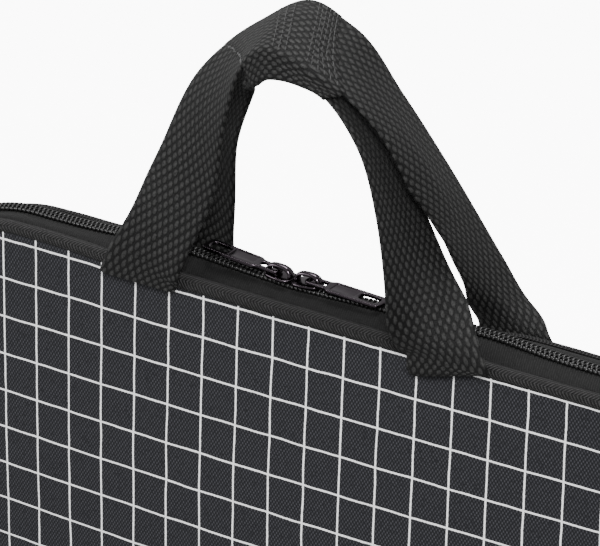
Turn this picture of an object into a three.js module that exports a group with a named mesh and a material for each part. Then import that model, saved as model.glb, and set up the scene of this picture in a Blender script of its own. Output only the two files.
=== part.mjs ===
// A soft portfolio case: two padded panels joined by a bottom gusset, a two-way coil zipper round the
// other three sides, and a pair of webbing carrying handles held together by a stitched grip wrap.
// Millimetres. X runs along the case, Y from front to back, Z up. The origin is on the surface that the
// case stands on, under its middle.
import * as THREE from 'three';

// ---------- driving dimensions ----------
const HALF_WIDTH = 180; // panel edge, from the middle
const PANEL_BOTTOM = 5;
const PANEL_TOP = 260;
const TOP_CORNER = 58; // radius of the upper corners
const BOTTOM_CORNER = 14; // radius of the lower corners
const HALF_THICKNESS = 14; // outer face of each cover
const GAP = 0.3; // between pieces that touch

const COVER = 1.0;
const PADDING = 2.6;
const LINING = 0.6;
const INNER_INSET = 2; // padding and lining stop short of the cover's edge

const MEETING_X = -9.4; // where the two closed sliders meet
const HANDLE_FEET = 75; // the zipper is lifted most beside the handles' feet
const COIL_BASE = 5.0; // underside of the coil, outside the panel edge
const COIL_SAG = 1.7; // how far it dips where the sliders meet
const COIL_RISE = 1.5; // how far it is lifted at the handles' feet
const COIL_HEIGHT = 1.9;
const COIL_INNER = 0.7;
const COIL_OUTER = 3.0;
const TAPE = 0.6;
const TAPE_INNER = 0.9; // half the slot between the two tapes

const STRAP_THICKNESS = 1.6;
const STRAP_WIDTH = 30;
const FOOT_WIDTH = 33; // a strap that leans is cut level, so its foot is wider
const FOOT_BOTTOM = 257.3;
const FOOT_Y = HALF_THICKNESS + 2.8;

// ---------- colours and finishes ----------
const finish = (color, roughness, metalness = 0) => ({ color, roughness, metalness });
const OXFORD = finish(0x3a3a40, 0.85);
const FOAM = finish(0x8d8d90, 0.95);
const POLYESTER = finish(0x2b2b2d, 0.8);
const BINDING = finish(0x18181a, 0.8);
const TWILL = finish(0x202022, 0.85);
const NYLON = finish(0x1a1a1c, 0.4);
const WEBBING = finish(0x242426, 0.7);
const BOARD = finish(0x2e2e30, 0.6);
const BLACK_NICKEL = finish(0x3a3640, 0.18, 1);

const model = new THREE.Group();

function addMesh(parent, name, geometry, look) {
  const mesh = new THREE.Mesh(geometry, new THREE.MeshStandardMaterial(look));
  mesh.name = name;
  parent.add(mesh);
  return mesh;
}

// ---------- lofting ----------
function signedVolume(points, index) {
  const [a, b, c] = [new THREE.Vector3(), new THREE.Vector3(), new THREE.Vector3()];
  let total = 0;
  for (let i = 0; i < index.length; i += 3) {
    a.copy(points[index[i]]);
    b.copy(points[index[i + 1]]);
    c.copy(points[index[i + 2]]);
    total += a.dot(b.cross(c));
  }
  return total;
}

// Joins rings of points into one closed body. outline is a ring flattened to 2-D, for the end caps.
function loft(rings, outline, closed = false) {
  const count = outline.length;
  const index = [];
  const spans = closed ? rings.length : rings.length - 1;
  for (let i = 0; i < spans; i += 1) {
    const here = i * count;
    const next = ((i + 1) % rings.length) * count;
    for (let j = 0; j < count; j += 1) {
      const k = (j + 1) % count;
      index.push(here + j, here + k, next + k, here + j, next + k, next + j);
    }
  }
  if (!closed) {
    const flat = outline.map(([u, v]) => new THREE.Vector2(u, v));
    const turn = Math.sign(THREE.ShapeUtils.area(flat));
    const last = (rings.length - 1) * count;
    for (const face of THREE.ShapeUtils.triangulateShape(flat, [])) {
      const corners = face.map((i) => flat[i]);
      const [a, b, c] = Math.sign(THREE.ShapeUtils.area(corners)) === turn ? face : [...face].reverse();
      index.push(a, c, b, last + a, last + b, last + c);
    }
  }
  const points = rings.flat();
  if (signedVolume(points, index) < 0) index.reverse();
  const geometry = new THREE.BufferGeometry().setFromPoints(points);
  geometry.setIndex(index);
  return geometry;
}

// ---------- the panels' outline ----------
// Each station is a point of the outline with its outward normal.
function arcStations(centreX, centreZ, radius, from, to, steps) {
  const stations = [];
  for (let i = 0; i <= steps; i += 1) {
    const angle = THREE.MathUtils.degToRad(from + ((to - from) * i) / steps);
    const [nx, nz] = [Math.cos(angle), Math.sin(angle)];
    stations.push({ x: centreX + radius * nx, z: centreZ + radius * nz, nx, nz });
  }
  return stations;
}

const cornerX = HALF_WIDTH - TOP_CORNER;
const cornerZ = PANEL_TOP - TOP_CORNER;
const footX = HALF_WIDTH - BOTTOM_CORNER;
const footZ = PANEL_BOTTOM + BOTTOM_CORNER;
const topXs = [-108, -96, -86, -HANDLE_FEET, -42, -22, MEETING_X, 3, 25, 50, HANDLE_FEET, 86, 96, 108];

// From the left side up, over the top and down the right side.
function upperPath(startZ) {
  return [
    { x: -HALF_WIDTH, z: startZ, nx: -1, nz: 0 },
    ...arcStations(-cornerX, cornerZ, TOP_CORNER, 180, 90, 9),
    ...topXs.map((x) => ({ x, z: PANEL_TOP, nx: 0, nz: 1 })),
    ...arcStations(cornerX, cornerZ, TOP_CORNER, 90, 0, 9),
    { x: HALF_WIDTH, z: startZ, nx: 1, nz: 0 },
  ];
}

// From the right side down, along the bottom and up the left side. The lower corners end the sides.
function lowerPath() {
  return [
    ...arcStations(footX, footZ, BOTTOM_CORNER, 0, -90, 5),
    ...arcStations(-footX, footZ, BOTTOM_CORNER, -90, -180, 5),
  ];
}

// The gusset climbs the sides as far as the lower corners reach, and the zipper starts there.
const gussetPath = lowerPath();
const zipPath = upperPath(footZ + GAP);

const lift = (x) => {
  const distance = Math.abs(x);
  if (distance > HANDLE_FEET) return COIL_RISE * Math.exp(-(((distance - HANDLE_FEET) / 20) ** 2));
  const reach = x < MEETING_X ? MEETING_X + HANDLE_FEET : HANDLE_FEET - MEETING_X;
  return -COIL_SAG + ((COIL_RISE + COIL_SAG) * Math.abs(x - MEETING_X)) / reach;
};
const coilBase = (station) => (station.nz < 1 ? COIL_BASE : COIL_BASE + lift(station.x));

// Carries a section, given as [y, outward distance] pairs, along stations of the outline.
function sweep(section, stations, closed = false) {
  const sectionAt = typeof section === 'function' ? section : () => section;
  const rings = stations.map((station) => sectionAt(station).map(
    ([y, out]) => new THREE.Vector3(station.x + station.nx * out, y, station.z + station.nz * out),
  ));
  return loft(rings, sectionAt(stations[0]), closed);
}

const flip = (section) => section.map(([y, out]) => [-y, out]);

// ---------- panels ----------
function panel(inset, outerY, thickness) {
  const loop = [...upperPath(footZ).slice(1, -1), ...lowerPath()];
  const outline = loop.map((p) => [p.x - p.nx * inset, p.z - p.nz * inset]);
  const inner = outerY - Math.sign(outerY) * thickness;
  const rings = [outerY, inner].map((y) => outline.map(([x, z]) => new THREE.Vector3(x, y, z)));
  return loft(rings, outline);
}

const bindingSection = [
  [HALF_THICKNESS + 0.4, 0.3], [HALF_THICKNESS, 1.8], [HALF_THICKNESS - 1.2, 2.6], [HALF_THICKNESS - 3, 2.7],
  [HALF_THICKNESS - 3, 1.9], [HALF_THICKNESS - 1.6, 1.7], [HALF_THICKNESS - 0.9, 1.1], [HALF_THICKNESS - 0.6, 0.3],
];
const tapeOuter = HALF_THICKNESS - 3 - GAP;

// side is 1 for the back half and -1 for the front half.
function addHalf(group, prefix, side) {
  const face = side * HALF_THICKNESS;
  const paddingFace = face - side * (COVER + GAP);
  const liningFace = paddingFace - side * (PADDING + GAP);
  const mirror = side > 0 ? (section) => section : flip;
  addMesh(group, `${prefix}_cover`, panel(0, face, COVER), OXFORD);
  addMesh(group, `${prefix}_padding`, panel(INNER_INSET, paddingFace, PADDING), FOAM);
  addMesh(group, `${prefix}_lining`, panel(INNER_INSET, liningFace, LINING), POLYESTER);
  const tape = (station) => {
    const under = coilBase(station) - 0.85;
    return mirror([
      [tapeOuter, 1.9], [tapeOuter, 1.9 + TAPE], [COIL_OUTER + 0.2, under + TAPE],
      [TAPE_INNER, under + TAPE], [TAPE_INNER, under], [COIL_OUTER + 0.2, under],
    ]);
  };
  addMesh(group, `${prefix}_tape`, sweep(tape, zipPath), TWILL);
  const coil = (station) => {
    const base = coilBase(station);
    return mirror([
      [COIL_INNER, base], [COIL_OUTER - 0.4, base], [COIL_OUTER, base + 0.5], [COIL_OUTER, base + 1.4],
      [COIL_OUTER - 0.6, base + COIL_HEIGHT], [COIL_INNER, base + COIL_HEIGHT],
    ]);
  };
  addMesh(group, `${prefix}_coil`, sweep(coil, upperPath(footZ + 3)), NYLON);
  const stop = new THREE.BoxGeometry(COIL_HEIGHT + 0.4, COIL_OUTER - 0.4, 2);
  for (const [end, sign] of [['left', -1], ['right', 1]]) {
    const mesh = addMesh(group, `${prefix}_stop_${end}`, stop, BLACK_NICKEL);
    const out = HALF_WIDTH + COIL_BASE + COIL_HEIGHT / 2 + 0.2;
    mesh.position.set(sign * out, side * (COIL_OUTER / 2 + 0.4), footZ + 1.6);
  }
}

// ---------- straps ----------
// A strap is a list of stations [x, y, z, wx, wy, wz, width]: its middle and the direction of its width,
// which points to the edge that is outermost at the feet and rearmost over the grip.
const upperStrap = [
  [-66, -FOOT_Y, FOOT_BOTTOM, -1, 0, 0, FOOT_WIDTH],
  [-64.2, -FOOT_Y, 261.6, -0.98, 0, 0.12, 32],
  [-62.2, -16.7, 266, -0.92, 0.02, 0.37, STRAP_WIDTH],
  [-51, -7.6, 299.3, -0.94, 0.2, 0.27, STRAP_WIDTH],
  [-43, -2.8, 331, -0.78, 0.6, 0.27, STRAP_WIDTH],
  [-27.4, -0.8, 353, -0.35, 0.92, 0.2, STRAP_WIDTH],
  [-11.4, -0.4, 362.7, -0.05, 0.95, 0.3, STRAP_WIDTH],
  [4.7, 0, 357.9, 0, 0.97, 0.2, STRAP_WIDTH],
  [28.3, 2.4, 338.9, -0.27, 0.97, 0, STRAP_WIDTH],
  [46.4, 6.4, 315.1, -0.3, 0.95, 0.07, 28],
  [57.7, 11.2, 292.9, -0.12, 0.98, 0.1, 29],
  [65.9, 14.4, 278.4, 0.2, 0.95, 0.2, 22],
  [70.8, 17, 269.5, 0.92, 0.16, 0.35, 25],
  [72.8, FOOT_Y, 262.5, 0.98, 0.02, 0.12, 31],
  [73.6, FOOT_Y, FOOT_BOTTOM, 1, 0, 0, FOOT_WIDTH],
];
const lowerStrap = [
  [-63.6, FOOT_Y, FOOT_BOTTOM, -1, 0, 0, FOOT_WIDTH],
  [-62.6, FOOT_Y, 262.2, -0.98, 0.01, 0.12, 32],
  [-60.5, 16.8, 268, -0.9, 0.05, 0.35, STRAP_WIDTH],
  [-50.5, 10.4, 297.8, -0.75, 0.5, 0.43, STRAP_WIDTH],
  [-37.7, 4.8, 325.1, -0.45, 0.8, 0.43, STRAP_WIDTH],
  [-23.8, -1.2, 343.9, -0.25, 0.9, 0.3, STRAP_WIDTH],
  [-10, -2.8, 351.8, 0, 0.98, 0.15, STRAP_WIDTH],
  [7.4, -2.8, 348.5, -0.02, 0.99, -0.1, STRAP_WIDTH],
  [28.3, -4, 329, -0.06, 0.96, -0.28, STRAP_WIDTH],
  [42.2, -8, 304.6, 0.1, 0.97, -0.22, 28],
  [53.4, -12, 280.7, 0.45, 0.88, 0.05, STRAP_WIDTH],
  [61.6, -16.6, 267, 0.88, 0.2, 0.3, STRAP_WIDTH],
  [64.3, -FOOT_Y, 262.2, 0.98, 0.02, 0.12, 32],
  [66, -FOOT_Y, FOOT_BOTTOM, 1, 0, 0, FOOT_WIDTH],
];

// A smooth curve through the stations, read at a station number that may have a fraction.
function slopeAt(stations, i, k, length) {
  const before = i > 0 ? (stations[i][k] - stations[i - 1][k]) / length[i - 1] : null;
  const after = i < stations.length - 1 ? (stations[i + 1][k] - stations[i][k]) / length[i] : null;
  if (before === null) return after;
  if (after === null) return before;
  return (before * length[i] + after * length[i - 1]) / (length[i - 1] + length[i]);
}

function readStrap(stations, s) {
  const length = stations.slice(1).map((b, i) => Math.hypot(...b.map((value, k) => value - stations[i][k])));
  const i = Math.min(Math.floor(s), stations.length - 2);
  const t = s - i;
  return stations[0].map((_, k) => {
    const [p, q] = [stations[i][k], stations[i + 1][k]];
    const [mp, mq] = [i, i + 1].map((n) => slopeAt(stations, n, k, length) * length[i]);
    return (2 * t ** 3 - 3 * t ** 2 + 1) * p + (t ** 3 - 2 * t ** 2 + t) * mp
      + (3 * t ** 2 - 2 * t ** 3) * q + (t ** 3 - t ** 2) * mq;
  });
}

function strapFrame(stations, s) {
  const here = readStrap(stations, s);
  const step = 0.02;
  const low = readStrap(stations, Math.max(s - step, 0));
  const high = readStrap(stations, Math.min(s + step, stations.length - 1));
  const centre = new THREE.Vector3(...here.slice(0, 3));
  const across = new THREE.Vector3(...here.slice(3, 6)).normalize();
  const along = new THREE.Vector3(...high.slice(0, 3)).sub(new THREE.Vector3(...low.slice(0, 3)));
  const up = new THREE.Vector3().crossVectors(along, across).normalize();
  const edge = (sign) => centre.clone().addScaledVector(across, (sign * here[6]) / 2);
  return { across, up, centre, outer: edge(1), inner: edge(-1) };
}

function strap(stations, from, to, steps) {
  const half = STRAP_THICKNESS / 2;
  const rings = [];
  for (let i = 0; i <= steps; i += 1) {
    const { up, outer, inner } = strapFrame(stations, from + ((to - from) * i) / steps);
    rings.push([
      outer.clone().addScaledVector(up, half), inner.clone().addScaledVector(up, half),
      inner.clone().addScaledVector(up, -half), outer.clone().addScaledVector(up, -half),
    ]);
  }
  return loft(rings, [[1, 1], [-1, 1], [-1, -1], [1, -1]]);
}

// The wrap goes over the upper strap, down past both front edges and a little way under the lower one.
function gripWrap(steps) {
  const clear = STRAP_THICKNESS / 2 + 0.8;
  const skin = 1.2;
  const tuck = 9;
  const rings = [];
  for (let i = 0; i <= steps; i += 1) {
    const q = i / steps;
    const back = strapFrame(upperStrap, 4.6 + 2.1 * q);
    const middle = strapFrame(upperStrap, 4.825 + 2.275 * q);
    const front = strapFrame(upperStrap, 5.05 + 2.45 * q);
    const below = strapFrame(lowerStrap, 5.85 + 1.45 * q);
    const at = (point, frame, out, lifted) => point.clone()
      .addScaledVector(frame.across, -out)
      .addScaledVector(frame.up, lifted);
    rings.push([
      at(back.outer, back, 0, clear), at(middle.centre, middle, 0, clear), at(front.inner, front, 0, clear),
      at(front.inner, front, clear, 0), at(below.inner, below, clear, 0),
      at(below.inner, below, 0, -clear), at(below.inner, below, -tuck, -clear),
      at(below.inner, below, -tuck, -clear - skin), at(below.inner, below, 0, -clear - skin),
      at(below.inner, below, clear + skin, 0), at(front.inner, front, clear + skin, 0),
      at(front.inner, front, 0, clear + skin), at(middle.centre, middle, 0, clear + skin),
      at(back.outer, back, 0, clear + skin),
    ]);
  }
  const outline = [
    [30, 1], [15, 1], [0, 1], [-1, 0], [-1, -8], [0, -9], [9, -9],
    [9, -10], [0, -10], [-2, -8], [-2, 0], [0, 2], [15, 2], [30, 2],
  ];
  return loft(rings, outline);
}

// Each strap's foot is held by a short stitched tail that stays on the panel.
function strapTail(footCentre, nextX, side) {
  const [bottom, top] = [FOOT_BOTTOM - 0.1, FOOT_BOTTOM + 4.6];
  const [clear, thickness] = [0.6, 0.8];
  const lean = (nextX - footCentre) * 0.5;
  const outline = [
    [footCentre - FOOT_WIDTH / 2, bottom], [footCentre + FOOT_WIDTH / 2, bottom],
    [footCentre + FOOT_WIDTH / 2 + lean, top], [footCentre - FOOT_WIDTH / 2 + lean, top],
  ];
  const near = side * (HALF_THICKNESS + clear);
  const rings = [near, near + side * thickness].map((y) => outline.map(([x, z]) => new THREE.Vector3(x, y, z)));
  return loft(rings, outline);
}

// ---------- sliders and pulls ----------
const PLATE_TOP = COIL_HEIGHT + 1.3;
const CROWN = { start: 1.2, length: 10, foot: PLATE_TOP + 0.25, top: 7, leg: 1.3, width: 2 };
const HINGE_X = 6.5; // where the pull's bar lies under the crown
const HINGE_HEIGHT = 4.4;
const PULL_THICKNESS = 1.3;

function roundedRect(x0, y0, x1, y1, r, path = new THREE.Shape()) {
  path.moveTo(x0 + r, y0);
  path.lineTo(x1 - r, y0);
  path.absarc(x1 - r, y0 + r, r, -Math.PI / 2, 0, false);
  path.lineTo(x1, y1 - r);
  path.absarc(x1 - r, y1 - r, r, 0, Math.PI / 2, false);
  path.lineTo(x0 + r, y1);
  path.absarc(x0 + r, y1 - r, r, Math.PI / 2, Math.PI, false);
  path.lineTo(x0, y0 + r);
  path.absarc(x0 + r, y0 + r, r, Math.PI, Math.PI * 1.5, false);
  return path;
}

// Two plates joined by a post between the coils. Its frame has X outward and Z up from the coil's underside.
function sliderBody() {
  const [under, over, half, post] = [-1.25, COIL_HEIGHT + 0.4, 4.3, 0.3];
  const section = [
    [-half, under - 0.8], [half, under - 0.8], [half, under], [post, under], [post, over], [half, over],
    [half - 0.5, PLATE_TOP], [-half + 0.5, PLATE_TOP], [-half, over], [-post, over], [-post, under], [-half, under],
  ];
  const rings = [0.25, 11.75].map((x) => section.map(([y, z]) => new THREE.Vector3(x, y, z)));
  return loft(rings, section);
}

// An arch that stands on the slider's top plate and traps the pull's bar.
function crownArch() {
  const { start, length, foot, top, leg, width } = CROWN;
  const arch = (inset, ceiling) => {
    const points = [];
    const [x0, x1] = [start + inset, start + length - inset];
    const steps = 8;
    for (let i = 0; i <= steps; i += 1) {
      const angle = Math.PI - (Math.PI * i) / steps;
      const reach = Math.sign(Math.cos(angle)) * Math.abs(Math.cos(angle)) ** 0.7;
      points.push([(x0 + x1) / 2 + ((x1 - x0) / 2) * reach, foot + 0.6 + (ceiling - foot - 0.6) * Math.sin(angle)]);
    }
    return [[x0, foot], ...points, [x1, foot]];
  };
  const outline = [...arch(0, top), ...arch(leg, top - leg).reverse()];
  const rings = [-width / 2, width / 2].map((y) => outline.map(([x, z]) => new THREE.Vector3(x, y, z)));
  return loft(rings, outline);
}

// A flat tab. Its bar, at the origin, turns under the crown; the eye clears the crown as it lifts.
function pullTab() {
  const [bar, eyeEnd, eyeHalf, length] = [0.65, 8, 1.5, 31.5];
  const [neckHalf, half, corner, rim] = [2.8, 4, 2.2, 1.6];
  const [slotStart, slotHalf] = [21.4, half - rim];
  const shape = new THREE.Shape();
  shape.moveTo(-bar, -neckHalf);
  shape.lineTo(eyeEnd, -neckHalf);
  shape.lineTo(eyeEnd + 1.6, -half);
  shape.lineTo(length - corner, -half);
  shape.absarc(length - corner, corner - half, corner, -Math.PI / 2, 0, false);
  shape.lineTo(length, half - corner);
  shape.absarc(length - corner, half - corner, corner, 0, Math.PI / 2, false);
  shape.lineTo(eyeEnd + 1.6, half);
  shape.lineTo(eyeEnd, neckHalf);
  shape.lineTo(-bar, neckHalf);
  shape.closePath();
  shape.holes.push(roundedRect(bar, -eyeHalf, eyeEnd, eyeHalf, 0.8, new THREE.Path()));
  shape.holes.push(roundedRect(slotStart, -slotHalf, length - rim, slotHalf, slotHalf - 0.1, new THREE.Path()));
  const options = { depth: PULL_THICKNESS, bevelEnabled: false, curveSegments: 4 };
  return new THREE.ExtrudeGeometry(shape, options).translate(0, 0, -PULL_THICKNESS / 2);
}

// slope is the coil's rise beside the slider, and tilt is how far the resting pull is raised from it.
function addSlider(side, turn, slope, tilt) {
  const facing = new THREE.Group();
  facing.position.set(MEETING_X, 0, PANEL_TOP + COIL_BASE - COIL_SAG);
  facing.rotation.z = turn;
  model.add(facing);
  const sloped = new THREE.Group();
  sloped.rotation.y = -slope;
  facing.add(sloped);
  addMesh(sloped, `slider_${side}_body`, sliderBody(), BLACK_NICKEL);
  addMesh(sloped, `slider_${side}_crown`, crownArch(), BLACK_NICKEL);
  const pull = addMesh(sloped, `pull_${side}`, pullTab(), BLACK_NICKEL);
  pull.position.set(HINGE_X, 0, HINGE_HEIGHT);
  pull.rotation.y = -tilt;
}

// ---------- assembly ----------
const frontHalf = new THREE.Group();
const backHalf = new THREE.Group();
model.add(frontHalf, backHalf);
addHalf(frontHalf, 'front', -1);
addHalf(backHalf, 'back', 1);
addMesh(frontHalf, 'front_binding', sweep(flip(bindingSection), upperPath(footZ + GAP)), BINDING);
const wholeLoop = [...upperPath(footZ).slice(1, -1), ...lowerPath()];
addMesh(backHalf, 'back_binding', sweep(bindingSection, wholeLoop, true), BINDING);
addMesh(backHalf, 'bottom_binding', sweep(flip(bindingSection), lowerPath()), BINDING);

const gussetOut = PANEL_BOTTOM;
const gussetSection = [
  [-tapeOuter, 2.2], [-tapeOuter, 3.4], [-9.4, gussetOut], [9.4, gussetOut], [tapeOuter, 3.4], [tapeOuter, 2.2],
  [9.4, 3.5], [-9.4, 3.5],
];
const flatStrip = (half, low, high) => [[-half, low], [-half, high], [half, high], [half, low]];
addMesh(backHalf, 'gusset', sweep(gussetSection, gussetPath), OXFORD);
addMesh(backHalf, 'gusset_insert', sweep(flatStrip(9, 2.1, 3.1), gussetPath), BOARD);
addMesh(backHalf, 'gusset_lining', sweep(flatStrip(9, 1.2, 1.8), gussetPath), POLYESTER);
for (const [end, sign] of [['left', -1], ['right', 1]]) {
  const tab = new THREE.BoxGeometry(1, 18, 6);
  const mesh = addMesh(backHalf, `zipper_end_tab_${end}`, tab, OXFORD);
  mesh.position.set(sign * (HALF_WIDTH + gussetOut + GAP + 0.5), 0, footZ - 2.6);
}

addMesh(frontHalf, 'front_strap_tail_left', strapTail(-66, -62.6, -1), WEBBING);
addMesh(frontHalf, 'front_strap_tail_right', strapTail(66, 61.6, -1), WEBBING);
addMesh(backHalf, 'back_strap_tail_left', strapTail(-63.6, -60.5, 1), WEBBING);
addMesh(backHalf, 'back_strap_tail_right', strapTail(73.6, 71, 1), WEBBING);

// Inside the wrap the front handle's two ends stop, and the back handle climbs between them.
const backStrap = [
  ...lowerStrap.slice(0, 6), [-12, -2.4, 351.6, -0.03, 0.98, 0.16, STRAP_WIDTH],
  [-3, -1.6, 354, 0, 0.98, 0.15, STRAP_WIDTH], [6, -0.6, 354, 0, 0.98, 0.15, STRAP_WIDTH],
  [16, 0.8, 349.2, -0.14, 0.98, 0.08, STRAP_WIDTH], ...upperStrap.slice(8),
];
addMesh(model, 'front_strap_left', strap(upperStrap, 0, 5.85, 24), WEBBING);
addMesh(model, 'front_strap_right', strap(lowerStrap, 7.2, lowerStrap.length - 1, 24), WEBBING);
addMesh(model, 'grip_wrap', gripWrap(10), WEBBING);
addMesh(model, 'back_strap', strap(backStrap, 0, backStrap.length - 1, 48), WEBBING);

const leftSlope = Math.atan((COIL_RISE + COIL_SAG) / (MEETING_X + HANDLE_FEET));
const rightSlope = Math.atan((COIL_RISE + COIL_SAG) / (HANDLE_FEET - MEETING_X));
const LEFT_PULL_RAISED = THREE.MathUtils.degToRad(5);
addSlider('left', Math.PI, leftSlope, LEFT_PULL_RAISED - leftSlope);
addSlider('right', 0, rightSlope, -rightSlope);

export default model;
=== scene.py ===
"""A soft portfolio case with a printed grid, a coil zipper and a pair of webbing handles.

Lengths in this script are millimetres and become metres when a mesh is made. X runs along the case,
Y from its front to its back and Z up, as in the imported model.
"""
import math
import random

import bmesh
import bpy
from mathutils import Matrix, Vector


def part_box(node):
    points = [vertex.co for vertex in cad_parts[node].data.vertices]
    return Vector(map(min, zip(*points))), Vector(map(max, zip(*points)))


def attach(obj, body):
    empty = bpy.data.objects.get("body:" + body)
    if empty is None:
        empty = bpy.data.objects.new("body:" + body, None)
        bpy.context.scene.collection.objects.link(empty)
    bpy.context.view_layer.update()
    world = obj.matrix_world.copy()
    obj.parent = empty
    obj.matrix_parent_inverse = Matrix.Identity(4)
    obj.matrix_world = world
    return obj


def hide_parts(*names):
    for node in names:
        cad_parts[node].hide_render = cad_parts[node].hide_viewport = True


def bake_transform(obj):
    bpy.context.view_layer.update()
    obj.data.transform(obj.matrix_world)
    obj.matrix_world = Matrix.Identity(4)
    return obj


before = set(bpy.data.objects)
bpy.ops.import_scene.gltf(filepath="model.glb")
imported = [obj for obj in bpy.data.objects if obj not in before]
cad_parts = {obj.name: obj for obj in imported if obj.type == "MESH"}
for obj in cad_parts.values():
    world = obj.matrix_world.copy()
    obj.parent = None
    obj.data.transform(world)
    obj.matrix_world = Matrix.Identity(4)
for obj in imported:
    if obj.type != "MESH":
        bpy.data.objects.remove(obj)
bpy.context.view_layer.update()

MM = 0.001
GEN = random.Random(7)

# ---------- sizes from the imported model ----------
cover_low, cover_high = (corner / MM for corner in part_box("front_cover"))
HALF_WIDTH = cover_high.x
PANEL_BOTTOM = cover_low.z
PANEL_TOP = cover_high.z
HALF_THICKNESS = -cover_low.y

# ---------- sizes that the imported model's boxes do not give ----------
TOP_CORNER = 58  # radii of the panel's corners
BOTTOM_CORNER = 14
CORNER_X = HALF_WIDTH - TOP_CORNER
CORNER_Z = PANEL_TOP - TOP_CORNER
FOOT_X = HALF_WIDTH - BOTTOM_CORNER
FOOT_Z = PANEL_BOTTOM + BOTTOM_CORNER
MEETING_X = -9.4  # where the two sliders meet
HANDLE_FEET = 75
COIL_BASE = 5.0  # height of the coil's underside above the panel's top edge
COIL_SAG = 1.7  # its droop at the sliders
COIL_RISE = 1.5  # its rise at the handles' feet
COIL_HEIGHT = 1.9
SIDE_START = 60  # from here out the case's slight twist lifts or lowers its top
SIDE_END = 90
LEFT_DROOP = 1.5  # of the coil and the back edge
RIGHT_DROOP = 0.7  # of the coil
RIGHT_LIFT = 1.1  # of the back edge
FRONT_LIFT = 1.4  # of the front edge, at the left
BACK_SAG = 3.2  # the back edge droops between the handles
GRID = 15
GRID_LINE = 0.72
GRID_TILT = 0.0095  # the print is not quite square to the case
GRID_ROW = 256.65  # height of the top printed line
GRID_COLUMN = -83.7  # place of one upright printed line
CHEVRON = 3.9  # half the width of the binding's one row of chevrons
HALVES = ((-1, "front", "front_half"), (1, "back", "back_half"))


# ---------- meshes ----------
def finish_object(obj, body, slot_name, material, *nodes):
    """The closing steps that every piece shares."""
    if material is not None:
        obj.data.materials.append(material)
    if body is not None:
        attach(obj, body)
    if nodes:
        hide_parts(*nodes)
    return obj


def link(name, mesh):
    obj = bpy.data.objects.new(name, mesh)
    bpy.context.scene.collection.objects.link(obj)
    return obj


def tidy_normals(mesh, smooth=True):
    work = bmesh.new()
    work.from_mesh(mesh)
    bmesh.ops.recalc_face_normals(work, faces=work.faces)
    work.to_mesh(mesh)
    work.free()
    for face in mesh.polygons:
        face.use_smooth = smooth


def solid(name, points, faces):
    mesh = bpy.data.meshes.new(name)
    mesh.from_pydata(points, [], faces)
    tidy_normals(mesh)
    return link(name, mesh)


def tube_faces(first, rings, sides):
    """The faces of a closed tube whose points start at number first."""
    faces = []
    for i in range(rings - 1):
        for k in range(sides):
            a = first + i * sides + k
            b = first + i * sides + (k + 1) % sides
            faces.append((a, b, b + sides, a + sides))
    last = first + (rings - 1) * sides
    return faces + [tuple(range(first, first + sides)), tuple(reversed(range(last, last + sides)))]


def skin(name, rings, along, across, loop=False, smooth=True):
    """A body through rings of points, with a UV map in metres along and across it, closed by flat ends
    or, if loop, by joining its last ring to its first."""
    count = len(rings[0])
    points = [point * MM for ring in rings for point in ring]
    faces = []
    uvs = []
    spans = len(rings) if loop else len(rings) - 1
    for i in range(spans):
        here, there = i * count, (i + 1) % len(rings) * count
        for j in range(count):
            k = (j + 1) % count
            faces.append((here + j, here + k, there + k, there + j))
            uvs += [(along[i], across[j]), (along[i], across[j + 1])]
            uvs += [(along[i + 1], across[j + 1]), (along[i + 1], across[j])]
    if not loop:
        last = (len(rings) - 1) * count
        faces += [tuple(range(count)), tuple(last + j for j in reversed(range(count)))]
        uvs += [(along[0], across[j]) for j in range(count)]
        uvs += [(along[-1], across[j]) for j in reversed(range(count))]
    mesh = bpy.data.meshes.new(name)
    mesh.from_pydata(points, [], faces)
    layer = mesh.uv_layers.new(name="UVMap")
    for slot_index, (u, v) in enumerate(uvs):
        layer.data[slot_index].uv = (u * MM, v * MM)
    tidy_normals(mesh, smooth)
    return link(name, mesh)


def lengths(points, closed=False):
    """Distance along a list of points, one value per point, and back at the start if closed."""
    total = [0.0]
    stops = points[1:] + (points[:1] if closed else [])
    for a, b in zip(points, stops):
        total.append(total[-1] + (b - a).length)
    return total


def plate(name, loops, height, bevel, segments=2):
    """A flat part in the XY plane, from closed outlines (holes included), centred on z = 0."""
    curve = bpy.data.curves.new(name, "CURVE")
    curve.dimensions = "2D"
    curve.fill_mode = "BOTH"
    curve.extrude = (height / 2 - bevel) * MM
    curve.bevel_depth = bevel * MM
    curve.offset = -bevel * MM
    curve.bevel_resolution = segments
    for loop in loops:
        spline = curve.splines.new("POLY")
        spline.points.add(len(loop) - 1)
        for point, (x, y) in zip(spline.points, loop):
            point.co = (x * MM, y * MM, 0, 1)
        spline.use_cyclic_u = True
    source = link(name + "_outline", curve)
    bpy.context.view_layer.update()
    mesh = bpy.data.meshes.new_from_object(source.evaluated_get(bpy.context.evaluated_depsgraph_get()))
    bpy.data.objects.remove(source)
    mesh.name = name
    work = bmesh.new()
    work.from_mesh(mesh)
    bmesh.ops.remove_doubles(work, verts=work.verts, dist=1e-6)
    work.to_mesh(mesh)
    work.free()
    tidy_normals(mesh, False)
    return link(name, mesh)


def join(name, objects):
    """One object from several, in place."""
    work = bmesh.new()
    for obj in objects:
        part = obj.data.copy()
        part.transform(obj.matrix_world)
        work.from_mesh(part)
        bpy.data.meshes.remove(part)
        bpy.data.objects.remove(obj)
    mesh = bpy.data.meshes.new(name)
    work.to_mesh(mesh)
    work.free()
    return link(name, mesh)


def smooth_by_angle(obj, degrees):
    """Smooth shading, except over edges sharper than this."""
    limit = math.radians(degrees)
    work = bmesh.new()
    work.from_mesh(obj.data)
    for edge in work.edges:
        edge.smooth = edge.calc_face_angle(0) < limit
    for face in work.faces:
        face.smooth = True
    work.to_mesh(obj.data)
    work.free()


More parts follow.
